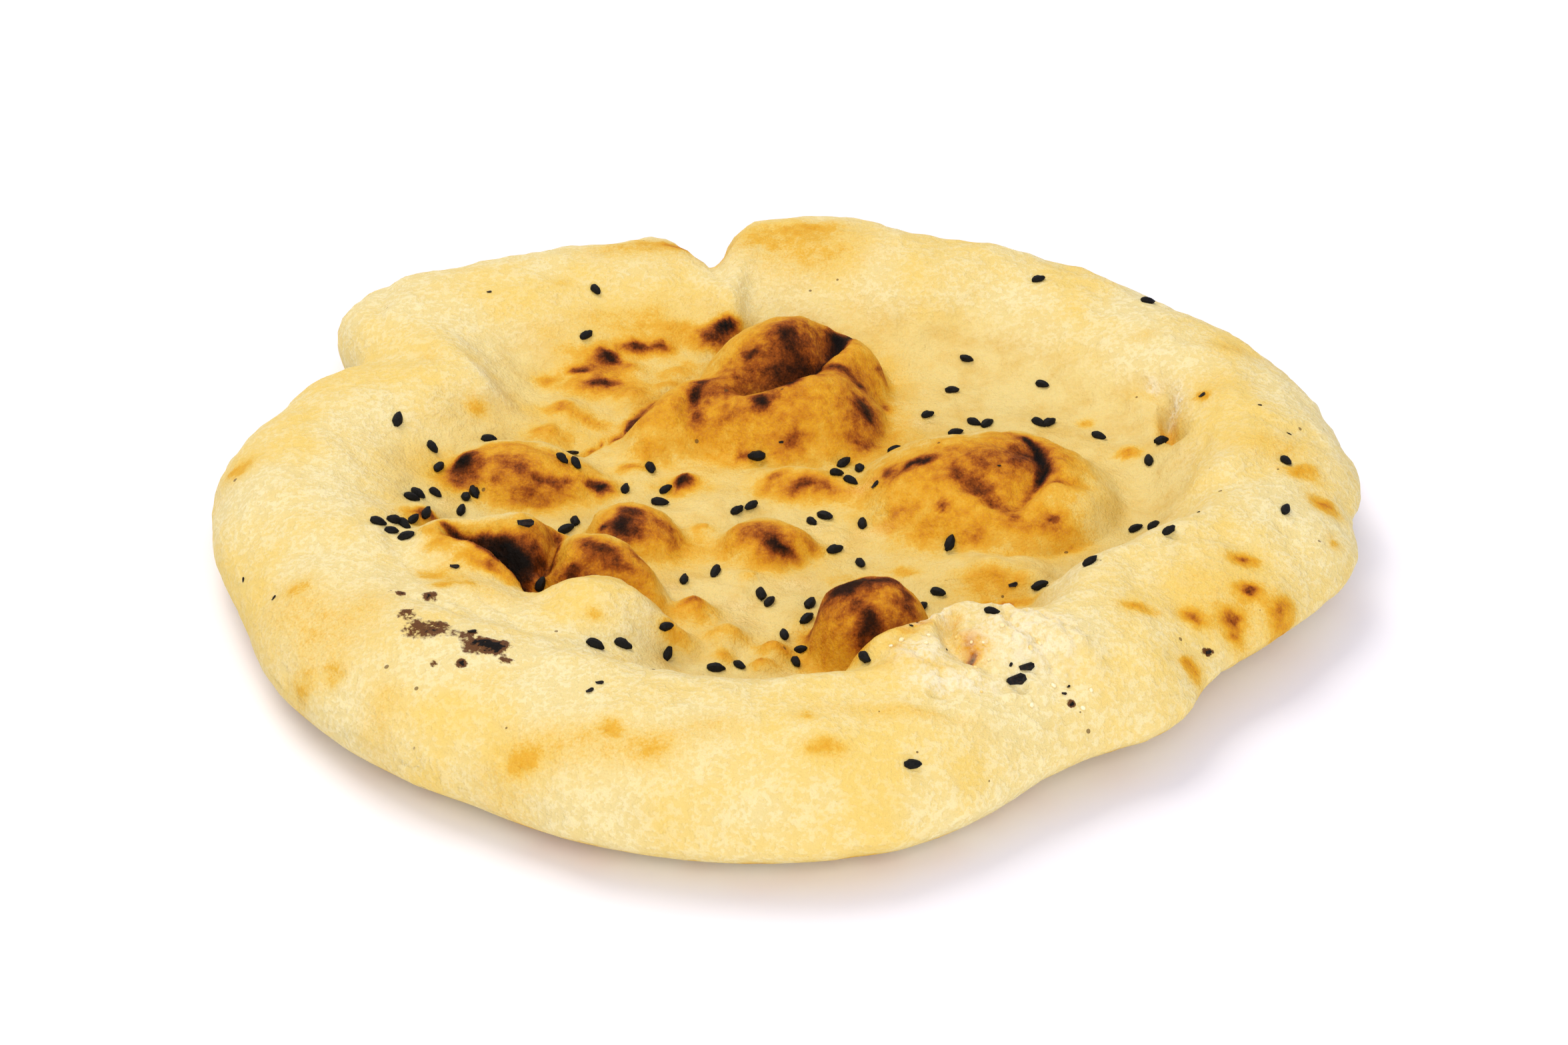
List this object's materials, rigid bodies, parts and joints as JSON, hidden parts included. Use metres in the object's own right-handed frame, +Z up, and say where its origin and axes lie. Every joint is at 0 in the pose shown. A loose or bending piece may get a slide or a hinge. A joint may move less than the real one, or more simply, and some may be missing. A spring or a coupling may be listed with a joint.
{
  "type": "naan",
  "caption": "Round oven-baked flatbread with a raised uneven rim, a dished middle full of browned blisters, a torn flap, a notched back edge and black seeds baked on.",
  "frame": {"origin": "middle of the bread's outline, on the surface that it lies on", "axes": "+Z up, +X to the right along the widest way, -Y towards the thick front rim, +Y towards the notched edge"},
  "size_m": [0.2086, 0.1976, 0.0256],
  "materials": {
    "crust": "matt baked dough, floury"
  },
  "bodies": {
    "root": {"naan": "crust"}
  },
  "joints": []
}
